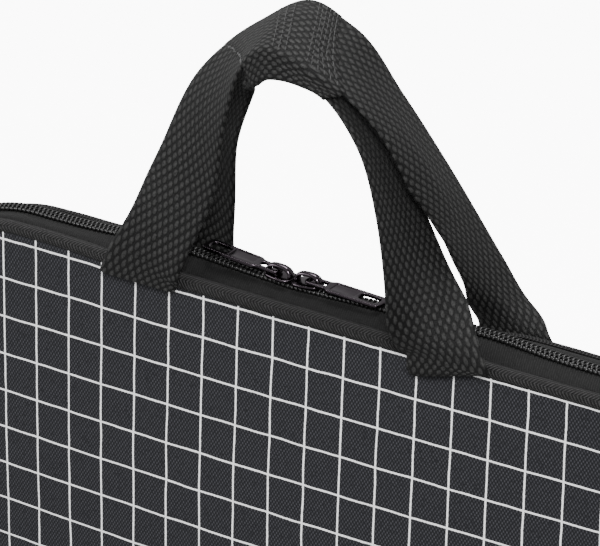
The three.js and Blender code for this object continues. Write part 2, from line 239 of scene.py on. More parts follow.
# ---------- materials ----------
class Finish:
    """One material, with short calls for its node tree."""

    def __init__(self, name, roughness, metallic=0.0, specular=0.5, sheen=0.0):
        self.material = bpy.data.materials.new(name)
        self.material.use_nodes = True
        self.tree = self.material.node_tree
        self.shader = self.tree.nodes["Principled BSDF"]
        self.shader.inputs["Roughness"].default_value = roughness
        self.shader.inputs["Metallic"].default_value = metallic
        self.shader.inputs["Specular IOR Level"].default_value = specular
        self.shader.inputs["Sheen Weight"].default_value = sheen

    def node(self, kind, **settings):
        made = self.tree.nodes.new(kind)
        for key, value in settings.items():
            setattr(made, key, value)
        return made

    def feed(self, socket, value):
        if isinstance(value, bpy.types.NodeSocket):
            self.tree.links.new(value, socket)
        else:
            socket.default_value = value

    def math(self, operation, *values, clamp=False):
        made = self.node("ShaderNodeMath", operation=operation, use_clamp=clamp)
        for socket, value in zip(made.inputs, values):
            self.feed(socket, value)
        return made.outputs[0]

    def sine(self, value, pitch):
        return self.math("SINE", self.math("MULTIPLY", value, 2 * math.pi / pitch))

    def half(self, value):
        """Moves values from -1 to 1 into 0 to 1."""
        return self.math("ADD", self.math("MULTIPLY", value, 0.5), 0.5)

    def surface(self):
        """Position along and across the piece, in millimetres."""
        split = self.node("ShaderNodeSeparateXYZ")
        self.feed(split.inputs[0], self.node("ShaderNodeUVMap", uv_map="UVMap").outputs[0])
        return [self.math("MULTIPLY", split.outputs[k], 1 / MM) for k in (0, 1)]

    def noise(self, scale, detail):
        """Fine random variation from 0 to 1. scale is in features per millimetre."""
        shift = self.node("ShaderNodeMapping")
        shift.inputs["Scale"].default_value = (1 / MM, 1 / MM, 1 / MM)
        self.feed(shift.inputs["Vector"], self.node("ShaderNodeTexCoord").outputs["Object"])
        made = self.node("ShaderNodeTexNoise")
        made.inputs["Scale"].default_value = scale
        made.inputs["Detail"].default_value = detail
        self.feed(made.inputs["Vector"], shift.outputs[0])
        return made.outputs["Fac"]

    def blend(self, factor, low, high):
        made = self.node("ShaderNodeMix", data_type="RGBA")
        self.feed(made.inputs[0], factor)
        self.feed(made.inputs[6], low)
        self.feed(made.inputs[7], high)
        return made.outputs[2]

    def step(self, value, low, high):
        """0 below low and 1 above high, smoothly."""
        made = self.node("ShaderNodeMapRange", interpolation_type="SMOOTHSTEP")
        for socket, number in zip(made.inputs, (value, low, high, 0.0, 1.0)):
            self.feed(socket, number)
        return made.outputs[0]

    def colour(self, value):
        self.feed(self.shader.inputs["Base Color"], value)

    def rough(self, value):
        self.feed(self.shader.inputs["Roughness"], value)

    def bump(self, height, depth, strength=1.0):
        """height runs from 0 to 1 and stands for depth millimetres."""
        made = self.node("ShaderNodeBump")
        made.inputs["Strength"].default_value = strength
        made.inputs["Distance"].default_value = depth * MM
        self.feed(made.inputs["Height"], height)
        self.feed(self.shader.inputs["Normal"], made.outputs[0])


def grey(value, red=1.0, blue=1.0):
    return (value * red, value, value * blue, 1)


def wrapped(finish, value, pitch):
    """Signed distance to the nearest multiple of pitch."""
    return finish.math("WRAP", value, pitch / 2, -pitch / 2)


def dome(finish, u, v, half_u, half_v):
    """A rounded bump that falls to 0 on an ellipse."""
    a = finish.math("POWER", finish.math("ABSOLUTE", finish.math("DIVIDE", u, half_u)), 2.0)
    b = finish.math("POWER", finish.math("ABSOLUTE", finish.math("DIVIDE", v, half_v)), 2.0)
    return finish.math("SUBTRACT", 1.0, finish.math("ADD", a, b), clamp=True)


def webbing_finish(name, light):
    """Ribbed webbing: staggered rows of oval floats, with painted highlight on the float tops and painted
    shade between them; light is the grey of the painted highlight.
    """
    finish = Finish(name, 0.6, specular=0.16, sheen=0.02)
    u, v = finish.surface()
    pitch_u, pitch_v = 4.9, 3.1  # from float to float, along the strap and across it
    half_u, half_v = 1.55, 0.95  # half of one float
    first = dome(finish, wrapped(finish, u, pitch_u), wrapped(finish, v, pitch_v), half_u, half_v)
    second = dome(
        finish, wrapped(finish, finish.math("ADD", u, pitch_u / 2), pitch_u),
        wrapped(finish, finish.math("ADD", v, pitch_v / 2), pitch_v), half_u, half_v,
    )
    float_height = finish.math("POWER", finish.math("MAXIMUM", first, second), 0.6)
    fibre = finish.noise(1.3, 4.0)
    ribs = finish.math("MULTIPLY", finish.half(finish.sine(v, 0.5)), 0.12)
    height = finish.math("ADD", finish.math("ADD", finish.math("MULTIPLY", float_height, 0.8), ribs),
                         finish.math("MULTIPLY", fibre, 0.14))
    # Painted highlight and shade: near black in the hollows between floats, light grey on the float tops,
    # broken up by random fibre noise.
    painted_shade_and_highlight = finish.math("MULTIPLY", finish.step(height, 0.15, 0.95), finish.step(fibre, 0.1, 0.75))
    finish.colour(finish.blend(painted_shade_and_highlight, grey(0.0025), grey(light, 1.0, 0.98)))
    finish.bump(height, 0.6, 1.0)
    return finish.material


def oxford_finish(name, printed):
    """Basket-woven coated cloth, with painted highlight on the weave's raised tops, and thin white grid lines
    if printed.
    """
    finish = Finish(name, 0.55, specular=0.15)
    u, v = finish.surface()
    height = finish.half(finish.math("MULTIPLY", finish.sine(u, 1.37), finish.sine(v, 2.0)))
    patch = finish.noise(0.12, 2.0)
    speck = finish.noise(1.1, 2.0)
    # Painted highlight: the weave's raised tops are painted light grey at random spots and the hollows near
    # black; patch below is a random tone.
    painted_highlight_dots = finish.math("MULTIPLY", finish.step(height, 0.35, 0.95), finish.step(speck, 0.2, 0.55))
    cloth = finish.blend(painted_highlight_dots, grey(0.009, 0.98, 1.2), grey(0.055, 0.99, 1.14))
    cloth = finish.blend(finish.math("MULTIPLY", patch, 0.25), cloth, grey(0.017, 0.98, 1.15))
    if printed:
        wave = finish.math("MULTIPLY", finish.math("SUBTRACT", finish.noise(0.07, 2.0), 0.5), 0.8)
        ragged = finish.math("MULTIPLY", finish.math("SUBTRACT", finish.noise(0.9, 2.0), 0.5), 0.25)
        row = finish.math("SUBTRACT", v, finish.math("MULTIPLY", u, GRID_TILT))
        column = finish.math("ADD", u, finish.math("MULTIPLY", v, GRID_TILT))
        column_start = GRID_COLUMN + GRID_TILT * GRID_ROW
        lines = []
        for value, start in ((row, GRID_ROW), (column, column_start)):
            moved = finish.math("ADD", finish.math("SUBTRACT", value, start), wave)
            away = finish.math("ABSOLUTE", wrapped(finish, moved, GRID))
            away = finish.math("ADD", away, ragged)
            lines.append(finish.step(away, GRID_LINE / 2 + 0.1, GRID_LINE / 2 - 0.1))
        line = finish.math("MAXIMUM", *lines)
        cloth = finish.blend(line, cloth, grey(0.95))
    finish.colour(cloth)
    finish.bump(height, 0.16, 0.8)
    return finish.material


def herringbone_finish(name):
    """Folded seam tape: one row of chevrons that point along it, with painted highlight on the ribs and
    painted shade in the grooves between them.
    """
    finish = Finish(name, 0.6, specular=0.15, sheen=0.02)
    u, v = finish.surface()
    zigzag = finish.math("PINGPONG", v, CHEVRON)
    phase = finish.math("ADD", u, finish.math("MULTIPLY", zigzag, 0.8))
    rib = finish.half(finish.sine(phase, 1.4))
    thread = finish.sine(v, 0.62)
    height = finish.math("ADD", finish.math("MULTIPLY", rib, 0.8), finish.math("MULTIPLY", thread, 0.1))
    fibre = finish.noise(1.2, 3.0)
    # Painted highlight and shade: near black in the grooves, light grey on the rib tops, broken up by random
    # fibre noise.
    painted_shade_and_highlight = finish.math("MULTIPLY", finish.step(height, 0.15, 0.85), finish.step(fibre, 0.15, 0.7))
    finish.colour(finish.blend(painted_shade_and_highlight, grey(0.0025), grey(0.034, 1.03, 1.02)))
    finish.bump(height, 0.4, 1.0)
    return finish.material


def twill_finish(name, pitch=0.9, light=0.018):
    """Finely ribbed cloth, with painted highlight on the ribs and painted shade between them; light is the
    grey of the painted highlight.
    """
    finish = Finish(name, 0.7, specular=0.12, sheen=0.02)
    u, v = finish.surface()
    diagonal = finish.math("SUBTRACT", u, finish.math("MULTIPLY", v, 0.8))
    rib = finish.sine(diagonal, pitch)
    height = finish.half(finish.math("MULTIPLY", rib, finish.sine(v, pitch * 0.8)))
    fibre = finish.noise(1.6, 3.0)
    # Painted highlight and shade: near black between the ribs, light grey on their tops, broken up by random
    # fibre noise.
    painted_shade_and_highlight = finish.math("MULTIPLY", finish.step(height, 0.2, 0.9), finish.step(fibre, 0.2, 0.7))
    finish.colour(finish.blend(painted_shade_and_highlight, grey(0.003), grey(light)))
    finish.bump(height, 0.14, 0.8)
    return finish.material


def nylon_finish(name, value=0.009, roughness=0.28):
    finish = Finish(name, roughness, specular=0.45)
    fine = finish.noise(0.8, 2.0)
    finish.colour(finish.blend(fine, grey(value * 0.6), grey(value * 1.3)))
    finish.bump(finish.noise(2.5, 2.0), 0.03, 0.5)
    return finish.material


def nickel_finish(name):
    finish = Finish(name, 0.12, metallic=1.0, specular=0.5)
    wear = finish.noise(0.25, 4.0)
    finish.colour(finish.blend(wear, (0.05, 0.042, 0.05, 1), (0.105, 0.088, 0.102, 1)))
    finish.rough(finish.math("ADD", 0.09, finish.math("MULTIPLY", finish.noise(1.2, 3.0), 0.14)))
    finish.bump(finish.noise(0.35, 2.0), 0.03, 0.35)
    return finish.material


def foam_finish(name):
    finish = Finish(name, 0.95, specular=0.2)
    cells = finish.noise(2.2, 2.0)
    finish.colour(finish.blend(cells, grey(0.16), grey(0.34)))
    finish.bump(cells, 0.25, 0.7)
    return finish.material


PRINTED = oxford_finish("printed_oxford_cloth", True)
PLAIN = oxford_finish("plain_oxford_cloth", False)
LINING = twill_finish("lining_cloth", 1.1, 0.04)
BINDING = herringbone_finish("herringbone_tape")
TAPE = twill_finish("zipper_tape_twill")
COIL = nylon_finish("nylon_coil")
STIFFENER = nylon_finish("stiffener_plastic", 0.04, 0.5)
WEBBING = webbing_finish("strap_webbing", 0.034)
WRAP = webbing_finish("wrap_webbing", 0.04)
NICKEL = nickel_finish("black_nickel_plate")
FOAM = foam_finish("foam_sheet")
THREAD = nylon_finish("black_thread", 0.03, 0.55)
# The loose fibres at the wrap's cut end are painted light grey: a painted highlight on fibres of black
# webbing.
FRAY_PAINTED_HIGHLIGHT = nylon_finish("cut_webbing_fibres_painted_highlight", 0.16, 0.8)


# ---------- the panels' outline ----------
def line_part(x0, z0, x1, z1, normal):
    return math.hypot(x1 - x0, z1 - z0), lambda t: (x0 + (x1 - x0) * t, z0 + (z1 - z0) * t, *normal)


def arc_part(x, z, radius, start, end):
    def at(t):
        angle = math.radians(start + (end - start) * t)
        return x + radius * math.cos(angle), z + radius * math.sin(angle), math.cos(angle), math.sin(angle)
    return radius * math.radians(abs(end - start)), at


def upper_parts(start_z):
    """From the left side up, over the top and down the right side."""
    return [
        line_part(-HALF_WIDTH, start_z, -HALF_WIDTH, CORNER_Z, (-1, 0)),
        arc_part(-CORNER_X, CORNER_Z, TOP_CORNER, 180, 90),
        line_part(-CORNER_X, PANEL_TOP, CORNER_X, PANEL_TOP, (0, 1)),
        arc_part(CORNER_X, CORNER_Z, TOP_CORNER, 90, 0),
        line_part(HALF_WIDTH, CORNER_Z, HALF_WIDTH, start_z, (1, 0)),
    ]


def lower_parts():
    """From the right side down, along the bottom and up the left side."""
    return [
        arc_part(FOOT_X, FOOT_Z, BOTTOM_CORNER, 0, -90),
        line_part(FOOT_X, PANEL_BOTTOM, -FOOT_X, PANEL_BOTTOM, (0, -1)),
        arc_part(-FOOT_X, FOOT_Z, BOTTOM_CORNER, -90, -180),
    ]


def walk(parts, spacing):
    """Evenly spaced stations (x, z, nx, nz, distance) along joined lines and arcs."""
    total = sum(length for length, _ in parts)
    count = round(total / spacing)
    stations = []
    for i in range(count + 1):
        distance = rest = total * i / count
        for length, at in parts:
            if rest <= length + 1e-9:
                break
            rest -= length
        stations.append((*at(min(rest / length, 1)), distance))
    return stations


def ramp(value, low, high):
    """0 below low and 1 above high, smoothly."""
    t = min(max((value - low) / (high - low), 0), 1)
    return t * t * (3 - 2 * t)


def coil_base(station):
    """Height of the coil's underside outside the panel edge."""
    x, _, _, nz, _ = station
    if nz <= 0:
        return COIL_BASE
    droop = (LEFT_DROOP * ramp(-x, SIDE_START, SIDE_END) + RIGHT_DROOP * ramp(x, SIDE_START, SIDE_END)) * nz
    if nz < 0.999:
        return COIL_BASE - droop
    if abs(x) > HANDLE_FEET:
        return COIL_BASE - droop + COIL_RISE * math.exp(-(((abs(x) - HANDLE_FEET) / 20) ** 2))
    reach = MEETING_X + HANDLE_FEET if x < MEETING_X else HANDLE_FEET - MEETING_X
    return COIL_BASE - droop - COIL_SAG + (COIL_RISE + COIL_SAG) * abs(x - MEETING_X) / reach


def edge_sag(x, z, side):
    """How far the top edge stands above its flat line, by the case's slight twist and the back's droop."""
    near_top = max(0, 1 - (PANEL_TOP - z) / 60) ** 2
    if side < 0:
        return FRONT_LIFT * ramp(-x, 50, 110) * near_top
    twist = RIGHT_LIFT * ramp(x, SIDE_START, SIDE_END) - LEFT_DROOP * ramp(-x, SIDE_START, SIDE_END)
    return (twist - BACK_SAG * ramp(-abs(x), -82, -45)) * near_top


def sweep(name, section_at, stations, across, loop=False):
    """Carries a section of (y, outward) pairs along stations of the outline."""
    rings = []
    for station in stations:
        x, z, nx, nz, _ = station
        rings.append([Vector((x + nx * out, y, z + nz * out)) for y, out in section_at(station)])
    along = [station[4] for station in stations]
    if loop:
        rings.pop()
    return skin(name, rings, along, across, loop=loop)


# ---------- covers and linings ----------
def panel_rows():
    """(z, half width) of each row of a panel's grid, closest together where the outline curves."""
    rows = []
    lower_steps, side_steps, upper_steps = 8, 40, 16
    for i in range(lower_steps + 1):
        angle = math.radians(-90 + 90 * i / lower_steps)
        rows.append((FOOT_Z + BOTTOM_CORNER * math.sin(angle), FOOT_X + BOTTOM_CORNER * math.cos(angle)))
    for i in range(1, side_steps):
        rows.append((FOOT_Z + (CORNER_Z - FOOT_Z) * i / side_steps, HALF_WIDTH))
    for i in range(upper_steps + 1):
        angle = math.radians(90 * i / upper_steps)
        rows.append((CORNER_Z + TOP_CORNER * math.sin(angle), CORNER_X + TOP_CORNER * math.cos(angle)))
    return rows


def crown_height(x, z):
    """How far a padded panel swells away from its flat edge, from 0 to 1."""
    middle = (PANEL_TOP + PANEL_BOTTOM) / 2
    half = (PANEL_TOP - PANEL_BOTTOM) / 2
    share = (1 - (x / HALF_WIDTH) ** 2) * (1 - ((z - middle) / half) ** 2)
    return max(share, 0) ** 1.3


def panel_skin(name, side, face, thickness, swell, inset, columns=90):
    """A closed skin over a whole panel, flat against it at the edge. face is its outer surface there,
    swell how far it bows out in the middle, and inset how far it stops short of the outline."""
    rows = panel_rows()
    rings = []
    flat = []
    for z, half in rows:
        inner_z = z + inset * (1 - 2 * (z - PANEL_BOTTOM) / (PANEL_TOP - PANEL_BOTTOM))
        ring = []
        for layer in (0, 1):
            for i in range(columns + 1):
                share = -1 + 2 * i / columns
                x = (half - inset) * (share if layer == 0 else -share)
                pucker = 0.18 * math.sin(x / 4.1 + math.sin(z / 17)) * math.sin(z / 5.3 + x / 31)
                out = (swell + pucker) * crown_height(x, inner_z) - layer * thickness
                ring.append(Vector((x, side * (face + out), inner_z + edge_sag(x, inner_z, side))))
                flat.append((x, inner_z))
        rings.append(ring)
    count = len(rings[0])
    points = [point * MM for ring in rings for point in ring]
    faces = []
    for i in range(len(rings) - 1):
        for j in range(count):
            k = (j + 1) % count
            faces.append((i * count + j, i * count + k, (i + 1) * count + k, (i + 1) * count + j))
    for i in (0, len(rings) - 1):
        for j in range(columns):
            k = count - 1 - j
            faces.append((i * count + j, i * count + j + 1, i * count + k - 1, i * count + k))
    mesh = bpy.data.meshes.new(name)
    mesh.from_pydata(points, [], faces)
    layer = mesh.uv_layers.new(name="UVMap")
    for corner in mesh.loops:
        x, z = flat[corner.vertex_index]
        layer.data[corner.index].uv = (x * MM, z * MM)
    tidy_normals(mesh)
    return link(name, mesh)


COVER = 1.0
PADDING = 2.6
LINING_SHEET = 0.6
for side, half_name, body in HALVES:
    cover = panel_skin(f"{half_name}_cover_cloth", side, HALF_THICKNESS, COVER, 5.5, 0)
    finish_object(cover, body, "printed_oxford", PRINTED, f"{half_name}_cover")
    padding = panel_skin(f"{half_name}_foam", side, HALF_THICKNESS - 1.3, PADDING, 5.3, 2, 60)
    finish_object(padding, body, "foam", FOAM, f"{half_name}_padding")
    lining = panel_skin(f"{half_name}_lining_cloth", side, HALF_THICKNESS - 4.2, LINING_SHEET, 5.0, 2, 60)
    finish_object(lining, body, "lining_polyester", LINING, f"{half_name}_lining")

# ---------- bindings ----------
BINDING_LIP = 2.4  # how far it laps onto the cover
# (beyond the panel's face, outward from its edge), round the fold and back inside
BINDING_BULGE = [
    (0.95, -0.6), (0.8, 0.5), (0.35, 1.5), (-0.4, 2.25), (-1.3, 2.6), (-2.2, 2.7),
    (-2.9, 2.55), (-3.2, 2.15), (-2.9, 1.9), (-1.8, 1.85), (-0.9, 1.4), (-0.3, 0.7),
]


def binding_outline(lip):
    points = [(0.3, -lip), (0.75, 0.3 - lip), *BINDING_BULGE, (0.05, -0.4), (0.05, -lip)]
    return [(HALF_THICKNESS + beyond, out) for beyond, out in points]


def binding(name, side, stations, loop, body, *nodes):
    across = lengths([Vector(point) for point in binding_outline(BINDING_LIP)], closed=True)

    def section(station):
        x, z, _, nz, distance = station
        lift = edge_sag(x, z, side) if nz > 0.5 else 0
        waver = 0.1 * math.sin(distance / 9.0) + 0.06 * math.sin(distance / 3.7)
        lip = BINDING_LIP - (1.0 * ramp(-x, 50, 110) + 0.7 * ramp(x, 0, 100)) * max(nz, 0)
        return [(side * y, out + lift + waver * (out > 0)) for y, out in binding_outline(lip)]

    made = sweep(name, section, stations, across, loop)
    return finish_object(made, body, "binding", BINDING, *nodes)


SPACING = 2.0
upper_path = walk(upper_parts(FOOT_Z + 0.3), SPACING)
lower_path = walk(lower_parts(), SPACING)
whole_path = walk(upper_parts(FOOT_Z) + lower_parts(), SPACING)
binding("front_edge_binding", -1, upper_path, False, "front_half", "front_binding")
binding("back_edge_binding", 1, whole_path, True, "back_half", "back_binding")
binding("bottom_edge_binding", -1, lower_path, False, "back_half", "bottom_binding")

# ---------- zipper ----------
TAPE_OUTER = HALF_THICKNESS - 3.0
TAPE_INNER = 0.9
TAPE_THICKNESS = 0.6
COIL_OUTER = 3.0


def zipper_tape(half_name, side, body):
    def section(station):
        base = coil_base(station)
        outer = 2.1 + edge_sag(station[0], station[1], side)
        inner = base - 0.15
        knee = outer + (inner - outer) * 0.45 + 0.25
        middle = (TAPE_OUTER + COIL_OUTER) / 2
        top = [
            (TAPE_OUTER + 0.3, outer - 1.1), (TAPE_OUTER - 0.6, outer - 0.7), (TAPE_OUTER - 1.7, outer + 0.5),
            (middle - 0.5, knee + 0.2), (COIL_OUTER + 0.6, inner - 0.1), (TAPE_INNER, inner),
        ]
        under = [(y, out - TAPE_THICKNESS) for y, out in reversed(top)]
        return [(side * y, out) for y, out in top + under]

    across = [(TAPE_OUTER - TAPE_INNER) * i / 5 for i in range(6)]
    made = sweep(f"{half_name}_zipper_tape", section, upper_path, across + across + [0])
    return finish_object(made, body, "zipper_tape", TAPE, f"{half_name}_tape")


TOOTH_PITCH = 1.85


def coil_teeth(half_name, side, body):
    """A core with one rounded loop of coil for each tooth."""
    stations = walk(upper_parts(FOOT_Z + 3), TOOTH_PITCH)

    def core(station):
        base = coil_base(station)
        return [(side * y, base + out) for y, out in
                ((0.9, 0.1), (0.9, 1.1), (1.6, 1.35), (2.2, 1.1), (2.35, 0.1))]

    parts = [sweep(f"{half_name}_core", core, stations, [0, 1, 2, 3, 4, 5])]
    arch = [(-0.25, 0.75), (0.1, 1.3), (0.8, 1.62), (1.6, 1.62), (2.3, 1.3), (2.62, 0.75), (2.5, 0.15)]
    sides = 6
    points = []
    faces = []
    for station in stations[:-1]:
        x, z, nx, nz, _ = station
        base = coil_base(station)
        tangent = Vector((nz, 0, -nx))
        outward = Vector((nx, 0, nz))
        offset = TOOTH_PITCH * (0.25 if side > 0 else 0.75)
        first = len(points)
        for k, (y, out) in enumerate(arch):
            before = arch[max(k - 1, 0)]
            after = arch[min(k + 1, len(arch) - 1)]
            run = Vector((after[0] - before[0], after[1] - before[1])).normalized()
            lean = 0.35 * (y - 1.3) / 1.6
            centre = Vector((x, side * y, z)) + outward * (base + out) + tangent * (offset + lean)
            half_width = 0.62 if y < 0.3 else 0.5
            for s in range(sides):
                angle = 2 * math.pi * s / sides
                lift = 0.36 * math.sin(angle)
                points.append((
                    centre + tangent * (half_width * math.cos(angle))
                    + Vector((0, -side * run.y * lift, 0)) + outward * (run.x * lift)
                ) * MM)
        faces += tube_faces(first, len(arch), sides)
    parts.append(solid(f"{half_name}_loops", points, faces))
    made = join(f"{half_name}_zipper_coil", parts)
    return finish_object(made, body, "zipper_coil", COIL, f"{half_name}_coil")


for side, half_name, body in HALVES:
    zipper_tape(half_name, side, body)
    coil_teeth(half_name, side, body)

# ---------- bottom gusset ----------
GUSSET_TOP = 18
gusset_path = [station for station in lower_path if station[1] <= GUSSET_TOP]


def gusset_piece(name, outline, slot_name, material, node):
    """outline is (y, outward) round one layer of the gusset."""
    across = lengths([Vector(point) for point in outline], closed=True)
    made = sweep(name, lambda station: outline, gusset_path, across)
    return finish_object(made, "back_half", slot_name, material, node)


gusset_piece(
    "gusset_cloth",
    [(-10.7, 2.3), (-10.9, 3.2), (-10.2, 4.2), (-9.2, 4.85), (-6, 5.0), (6, 5.0), (9.2, 4.85), (10.2, 4.2),
     (10.9, 3.2), (10.7, 2.3), (9.4, 3.5), (-9.4, 3.5)],
    "gusset_oxford", PLAIN, "gusset",
)
gusset_piece("gusset_board", [(-9, 2.1), (-9, 3.1), (9, 3.1), (9, 2.1)],
             "stiffener", STIFFENER, "gusset_insert")
gusset_piece("gusset_lining_cloth", [(-9, 1.2), (-9, 1.8), (0, 1.9), (9, 1.8), (9, 1.2), (0, 1.3)],
             "lining_polyester", LINING, "gusset_lining")


def block(name, low, high, bevel):
    """A bevelled block from one corner to the other."""
    xs, ys, zs = zip(low, high)
    rings = [[Vector((x, y, z)) for y, z in ((ys[0], zs[0]), (ys[1], zs[0]), (ys[1], zs[1]), (ys[0], zs[1]))]
             for x in xs]
    width = high[1] - low[1]
    made = skin(name, rings, [0, high[0] - low[0]], [0, width, width * 2, width * 3, width * 4], smooth=False)
    modifier = made.modifiers.new("edge", "BEVEL")
    modifier.width = bevel * MM
    modifier.segments = 3
    modifier.limit_method = "ANGLE"
    return made


for end in ("left", "right"):
    for _, half_name, body in HALVES:
        node = f"{half_name}_stop_{end}"
        low, high = (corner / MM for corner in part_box(node))
        finish_object(block(f"{node}_clip", low, high, 0.35), body, "black_nickel", NICKEL, node)
    node = f"zipper_end_tab_{end}"
    low, high = (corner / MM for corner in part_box(node))
    finish_object(block(f"{node}_cloth", low, high, 0.4), "back_half", "gusset_oxford", PLAIN, node)

# ---------- straps ----------
FOOT_Y = HALF_THICKNESS + 2.8
FOOT_BOTTOM = 257.3
FOOT_WIDTH = 33
STRAP_WIDTH = 30
STRAP_THICKNESS = 1.6
# Stations are [x, y, z, wx, wy, wz, width]: the strap's middle and its width's direction, which points
# to the edge that is outermost at the feet and rearmost over the grip.
UPPER_STRAP = [
    [-66, -FOOT_Y, FOOT_BOTTOM, -1, 0, 0, FOOT_WIDTH],
    [-64.2, -FOOT_Y, 261.6, -0.98, 0, 0.12, 32],
    [-62.2, -16.7, 266, -0.92, 0.02, 0.37, STRAP_WIDTH],
    [-51, -7.6, 299.3, -0.94, 0.2, 0.27, STRAP_WIDTH],
    [-43, -2.8, 331, -0.78, 0.6, 0.27, STRAP_WIDTH],
    [-27.4, -0.8, 353, -0.35, 0.92, 0.2, STRAP_WIDTH],
    [-11.4, -0.4, 362.7, -0.05, 0.95, 0.3, STRAP_WIDTH],
    [4.7, 0, 357.9, 0, 0.97, 0.2, STRAP_WIDTH],
    [28.3, 2.4, 338.9, -0.27, 0.97, 0, STRAP_WIDTH],
    [46.4, 6.4, 315.1, -0.3, 0.95, 0.07, 28],
    [57.7, 11.2, 292.9, -0.12, 0.98, 0.1, 29],
    [65.9, 14.4, 278.4, 0.2, 0.95, 0.2, 22],
    [70.8, 17, 269.5, 0.92, 0.16, 0.35, 25],
    [72.8, FOOT_Y, 262.5, 0.98, 0.02, 0.12, 31],
    [73.6, FOOT_Y, FOOT_BOTTOM, 1, 0, 0, FOOT_WIDTH],
]
LOWER_STRAP = [
    [-63.6, FOOT_Y, FOOT_BOTTOM, -1, 0, 0, FOOT_WIDTH],
    [-62.6, FOOT_Y, 262.2, -0.98, 0.01, 0.12, 32],
    [-60.5, 16.8, 268, -0.9, 0.05, 0.35, STRAP_WIDTH],
    [-50.5, 10.4, 297.8, -0.75, 0.5, 0.43, STRAP_WIDTH],
    [-37.7, 4.8, 325.1, -0.45, 0.8, 0.43, STRAP_WIDTH],
    [-23.8, -1.2, 343.9, -0.25, 0.9, 0.3, STRAP_WIDTH],
    [-10, -2.8, 351.8, 0, 0.98, 0.15, STRAP_WIDTH],
    [7.4, -2.8, 348.5, -0.02, 0.99, -0.1, STRAP_WIDTH],
    [28.3, -4, 329, -0.06, 0.96, -0.28, STRAP_WIDTH],
    [42.2, -8, 304.6, 0.1, 0.97, -0.22, 28],
    [53.4, -12, 280.7, 0.45, 0.88, 0.05, STRAP_WIDTH],
    [61.6, -16.6, 267, 0.88, 0.2, 0.3, STRAP_WIDTH],
    [64.3, -FOOT_Y, 262.2, 0.98, 0.02, 0.12, 32],
    [66, -FOOT_Y, FOOT_BOTTOM, 1, 0, 0, FOOT_WIDTH],
]
# The back strap's legs lie a few millimetres off their solid.
BACK_STRAP = LOWER_STRAP[:3] + [
    [-49.5, 11.5, 306.8, -0.85, 0.49, -0.2, 29],
    [-38, 6, 332.4, -0.84, 0.5, -0.18, 29],
    [-24.5, -1.2, 347.5, -0.25, 0.9, 0.3, STRAP_WIDTH],
    [-11.4, -0.4, 360.8, -0.05, 0.95, 0.3, STRAP_WIDTH],
] + UPPER_STRAP[7:9] + [
    [44.3, 7.5, 314.9, -0.19, 0.97, -0.15, STRAP_WIDTH],
    [51.7, 12, 298, 0.01, 0.97, -0.25, 29],
    [57.2, 14.5, 286.6, 0.16, 0.94, -0.29, 28],
    [64.3, 16.5, 273.6, 0.49, 0.81, -0.32, 26],
    [71.2, FOOT_Y, 262.8, 0.99, 0.04, 0.04, 28],
    UPPER_STRAP[14],
]


def moved(stations, shifts):
    """Stations with some moved, where a strap lies a little off its solid. shifts maps a station's
    number to how far it moves in x and z and its new width."""
    changed = [list(station) for station in stations]
    for number, (dx, dz, width) in shifts.items():
        changed[number][0] += dx
        changed[number][2] += dz
        changed[number][6] = width
    return changed


def slopes(stations, gaps):
    """The rate of change of each value at each station, weighted by the spans on both sides."""
    found = []
    last = len(stations) - 1
    for i, here in enumerate(stations):
        row = []
        for k, value in enumerate(here):
            before = (value - stations[i - 1][k]) / gaps[i - 1] if i > 0 else None
            after = (stations[i + 1][k] - value) / gaps[i] if i < last else None
            if before is None or after is None:
                row.append(after if before is None else before)
            else:
                row.append((before * gaps[i] + after * gaps[i - 1]) / (gaps[i - 1] + gaps[i]))
        found.append(row)
    return found


class Strap:
    """A smooth band through its stations, read at a station number that may have a fraction."""

    def __init__(self, stations):
        self.stations = stations
        self.gaps = [math.dist(a, b) for a, b in zip(stations, stations[1:])]
        self.rates = slopes(stations, self.gaps)

    def read(self, s):
        i = min(int(s), len(self.stations) - 2)
        t = s - i
        values = []
        for k in range(7):
            p, q = self.stations[i][k], self.stations[i + 1][k]
            mp, mq = self.rates[i][k] * self.gaps[i], self.rates[i + 1][k] * self.gaps[i]
            values.append((2 * t ** 3 - 3 * t ** 2 + 1) * p + (t ** 3 - 2 * t ** 2 + t) * mp
                          + (3 * t ** 2 - 2 * t ** 3) * q + (t ** 3 - t ** 2) * mq)
        return values

    def frame(self, s):
        """Centre, direction across, direction up and width at s."""
        here = self.read(s)
        low = Vector(self.read(max(s - 0.02, 0))[:3])
        high = Vector(self.read(min(s + 0.02, len(self.stations) - 1))[:3])
        across = Vector(here[3:6]).normalized()
        up = (high - low).cross(across).normalized()
        return Vector(here[:3]), across, up, here[6]


